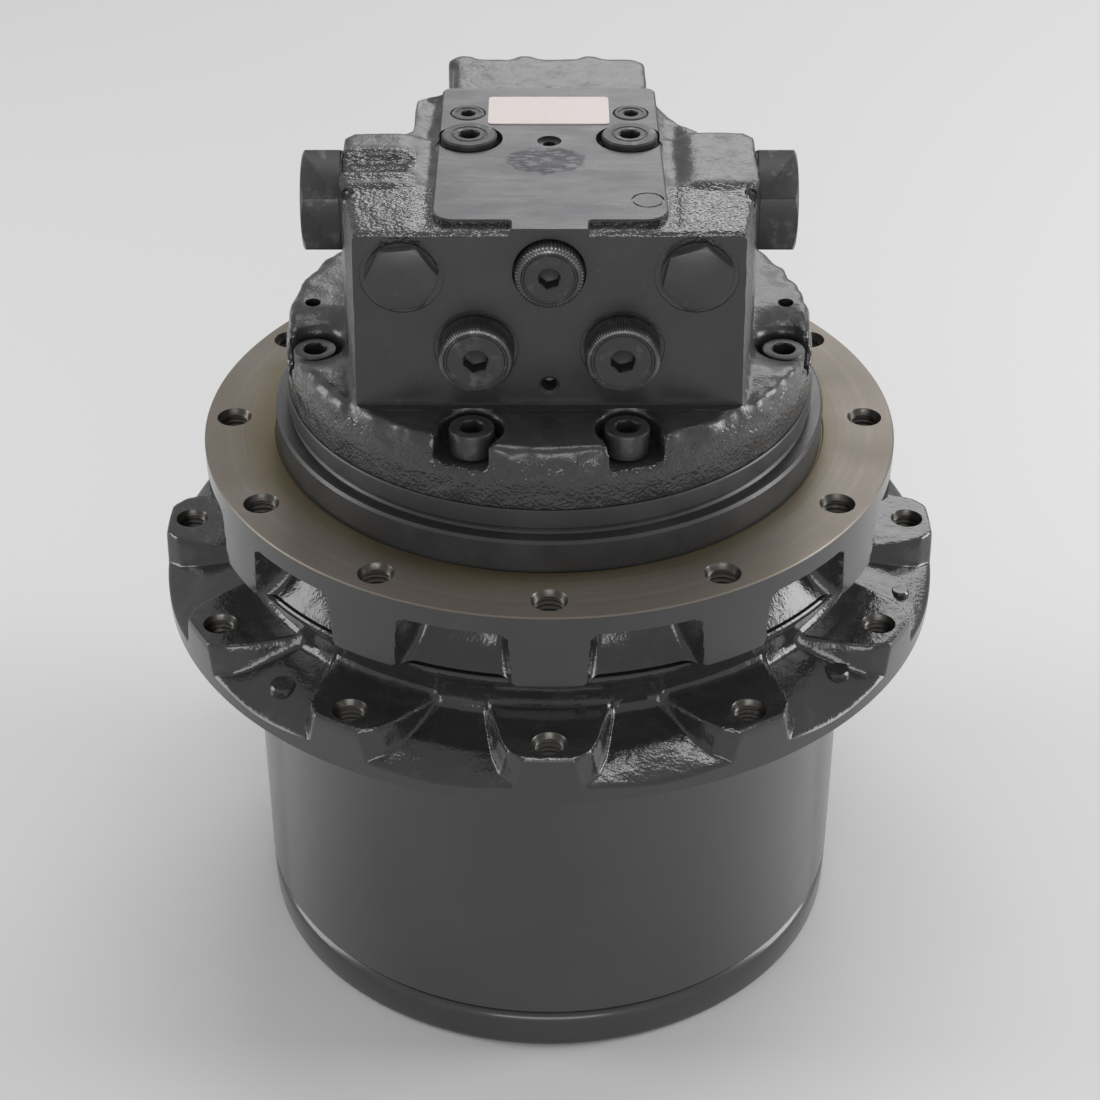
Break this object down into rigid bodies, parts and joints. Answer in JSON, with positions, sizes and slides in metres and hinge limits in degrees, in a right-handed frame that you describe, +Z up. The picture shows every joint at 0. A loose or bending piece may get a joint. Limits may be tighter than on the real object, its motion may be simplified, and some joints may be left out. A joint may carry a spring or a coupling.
{
  "type": "excavator final drive",
  "caption": "Compact two-stage planetary track drive for an excavator with its axial piston motor, brake and valve block; a flanged hub turns on a flanged spindle.",
  "frame": {"origin": "centre of the end cover's outer face, on the drive axis, which is the bottom of the part as it stands", "axes": "+Z up along the drive axis from the end cover to the motor, -Y out of the valve block's port face, +X along the counterbalance spool"},
  "size_m": [0.3034, 0.3034, 0.3388],
  "materials": {
    "black_paint": "gloss black enamel over rough castings, satin on machined faces",
    "dark_steel": "phosphated and oiled",
    "bearing_steel": "ground",
    "gear_steel": "case hardened and ground",
    "spring_steel": "oil tempered",
    "bronze": "lapped bronze",
    "friction_lining": "sintered friction lining",
    "seal_rubber": "matte"
  },
  "bodies": {
    "spindle": {"spindle": "black_paint", "valve_block": "black_paint", "cap_screw_1": "dark_steel", "cap_screw_2": "dark_steel", "cap_screw_3": "dark_steel", "cap_screw_4": "dark_steel", "cap_screw_5": "dark_steel", "cap_screw_6": "dark_steel", "front_plug_left": "black_paint", "front_plug_right": "black_paint", "port_plug_left": "dark_steel", "port_plug_right": "dark_steel", "port_plug_top": "dark_steel", "relief_plug_left": "dark_steel", "relief_plug_right": "dark_steel", "spool_cap_left": "dark_steel", "spool_cap_right": "dark_steel", "spool_spring_left": "spring_steel", "spool_spring_right": "spring_steel", "valve_plate": "bronze", "rear_shaft_bearing": "bearing_steel", "front_shaft_bearing": "bearing_steel", "shaft_seal": "seal_rubber", "brake_spring": "spring_steel", "brake_plate": "dark_steel", "lower_bearing_inner_ring": "bearing_steel", "upper_bearing_inner_ring": "bearing_steel", "bearing_nut": "dark_steel", "spindle_seal_ring": "bearing_steel", "spindle_seal_rubber": "seal_rubber", "stage2_carrier": "gear_steel", "swash_ball_left": "bearing_steel", "swash_ball_right": "bearing_steel"},
    "hub": {"hub": "black_paint", "end_cover": "black_paint", "lower_bearing_outer_ring": "bearing_steel", "upper_bearing_outer_ring": "bearing_steel", "hub_seal_ring": "bearing_steel", "hub_seal_rubber": "seal_rubber"},
    "motor": {"motor_shaft": "gear_steel", "cylinder_block": "gear_steel", "brake_disc_1": "friction_lining", "brake_disc_2": "friction_lining", "stage1_sun": "gear_steel"},
    "stage1_carrier": {"stage1_carrier": "gear_steel", "stage2_sun": "gear_steel"},
    "stage1_planet_1": {"stage1_planet_1": "gear_steel"},
    "stage1_planet_2": {"stage1_planet_2": "gear_steel"},
    "stage1_planet_3": {"stage1_planet_3": "gear_steel"},
    "stage2_planet_1": {"stage2_planet_1": "gear_steel"},
    "stage2_planet_2": {"stage2_planet_2": "gear_steel"},
    "stage2_planet_3": {"stage2_planet_3": "gear_steel"},
    "stage2_planet_4": {"stage2_planet_4": "gear_steel"},
    "lower_bearing_rollers": {"lower_bearing_rollers": "bearing_steel"},
    "upper_bearing_rollers": {"upper_bearing_rollers": "bearing_steel"},
    "swash_plate": {"swash_plate": "gear_steel"},
    "shoe_plate": {"shoe_plate": "bronze"},
    "speed_piston": {"speed_piston": "bearing_steel"},
    "brake_piston": {"brake_piston": "gear_steel"},
    "counterbalance_spool": {"counterbalance_spool": "bearing_steel"}
  },
  "joints": [
    {"name": "hub_spin", "type": "hinge", "parent": "spindle", "child": "hub", "pos_m": [0, 0, 0.1], "axis": [0, 0, 1], "continuous": true},
    {"name": "motor_spin", "type": "hinge", "parent": "spindle", "child": "motor", "pos_m": [0, 0, 0.1], "axis": [0, 0, 1], "continuous": true},
    {"name": "stage1_carrier_spin", "type": "hinge", "parent": "spindle", "child": "stage1_carrier", "pos_m": [0, 0, 0.064], "axis": [0, 0, 1], "continuous": true},
    {"name": "stage1_planet_1_spin", "type": "hinge", "parent": "stage1_carrier", "child": "stage1_planet_1", "pos_m": [0, 0.063, 0.043], "axis": [0, 0, 1], "continuous": true},
    {"name": "stage1_planet_2_spin", "type": "hinge", "parent": "stage1_carrier", "child": "stage1_planet_2", "pos_m": [-0.05456, -0.0315, 0.043], "axis": [0, 0, 1], "continuous": true},
    {"name": "stage1_planet_3_spin", "type": "hinge", "parent": "stage1_carrier", "child": "stage1_planet_3", "pos_m": [0.05456, -0.0315, 0.043], "axis": [0, 0, 1], "continuous": true},
    {"name": "stage2_planet_1_spin", "type": "hinge", "parent": "spindle", "child": "stage2_planet_1", "pos_m": [0.0665, 0, 0.088], "axis": [0, 0, 1], "continuous": true},
    {"name": "stage2_planet_2_spin", "type": "hinge", "parent": "spindle", "child": "stage2_planet_2", "pos_m": [0, 0.0665, 0.088], "axis": [0, 0, 1], "continuous": true},
    {"name": "stage2_planet_3_spin", "type": "hinge", "parent": "spindle", "child": "stage2_planet_3", "pos_m": [-0.0665, 0, 0.088], "axis": [0, 0, 1], "continuous": true},
    {"name": "stage2_planet_4_spin", "type": "hinge", "parent": "spindle", "child": "stage2_planet_4", "pos_m": [0, -0.0665, 0.088], "axis": [0, 0, 1], "continuous": true},
    {"name": "lower_bearing_rollers_spin", "type": "hinge", "parent": "spindle", "child": "lower_bearing_rollers", "pos_m": [0, 0, 0.144], "axis": [0, 0, 1], "continuous": true},
    {"name": "upper_bearing_rollers_spin", "type": "hinge", "parent": "spindle", "child": "upper_bearing_rollers", "pos_m": [0, 0, 0.17], "axis": [0, 0, 1], "continuous": true},
    {"name": "swash_tilt", "type": "hinge", "parent": "spindle", "child": "swash_plate", "pos_m": [0, 0, 0.158], "axis": [1, 0, 0], "range_deg": [0, 7.5], "stiffness_Nm_per_rad": 20, "springref_deg": -5.73},
    {"name": "shoe_plate_spin", "type": "hinge", "parent": "swash_plate", "child": "shoe_plate", "pos_m": [0, 0, 0.172], "axis": [0, 0.2588, 0.9659], "continuous": true},
    {"name": "speed_piston_slide", "type": "slide", "parent": "spindle", "child": "speed_piston", "axis": [0, 0, 1], "range_m": [0, 0.005]},
    {"name": "brake_release", "type": "slide", "parent": "spindle", "child": "brake_piston", "axis": [0, 0, 1], "range_m": [0, 0.0015], "stiffness_N_per_m": 20000, "springref_m": -0.01, "deforming": ["brake_spring"]},
    {"name": "spool_shift", "type": "slide", "parent": "spindle", "child": "counterbalance_spool", "axis": [1, 0, 0], "range_m": [-0.007, 0.007], "stiffness_N_per_m": 5000, "deforming": ["spool_spring_left", "spool_spring_right"]}
  ],
  "couplings": [
    {"joint": "motor_spin", "follows": "hub_spin", "ratio": -27.5},
    {"joint": "stage1_carrier_spin", "follows": "hub_spin", "ratio": -3.75},
    {"joint": "stage1_planet_1_spin", "follows": "hub_spin", "ratio": 11.875},
    {"joint": "stage1_planet_2_spin", "follows": "hub_spin", "ratio": 11.875},
    {"joint": "stage1_planet_3_spin", "follows": "hub_spin", "ratio": 11.875},
    {"joint": "stage2_planet_1_spin", "follows": "hub_spin", "ratio": 2.7273},
    {"joint": "stage2_planet_2_spin", "follows": "hub_spin", "ratio": 2.7273},
    {"joint": "stage2_planet_3_spin", "follows": "hub_spin", "ratio": 2.7273},
    {"joint": "stage2_planet_4_spin", "follows": "hub_spin", "ratio": 2.7273},
    {"joint": "lower_bearing_rollers_spin", "follows": "hub_spin", "ratio": 0.54087},
    {"joint": "upper_bearing_rollers_spin", "follows": "hub_spin", "ratio": 0.54087},
    {"joint": "shoe_plate_spin", "follows": "hub_spin", "ratio": -27.5},
    {"joint": "speed_piston_slide", "follows": "swash_tilt", "m_per_rad": 0.038}
  ]
}
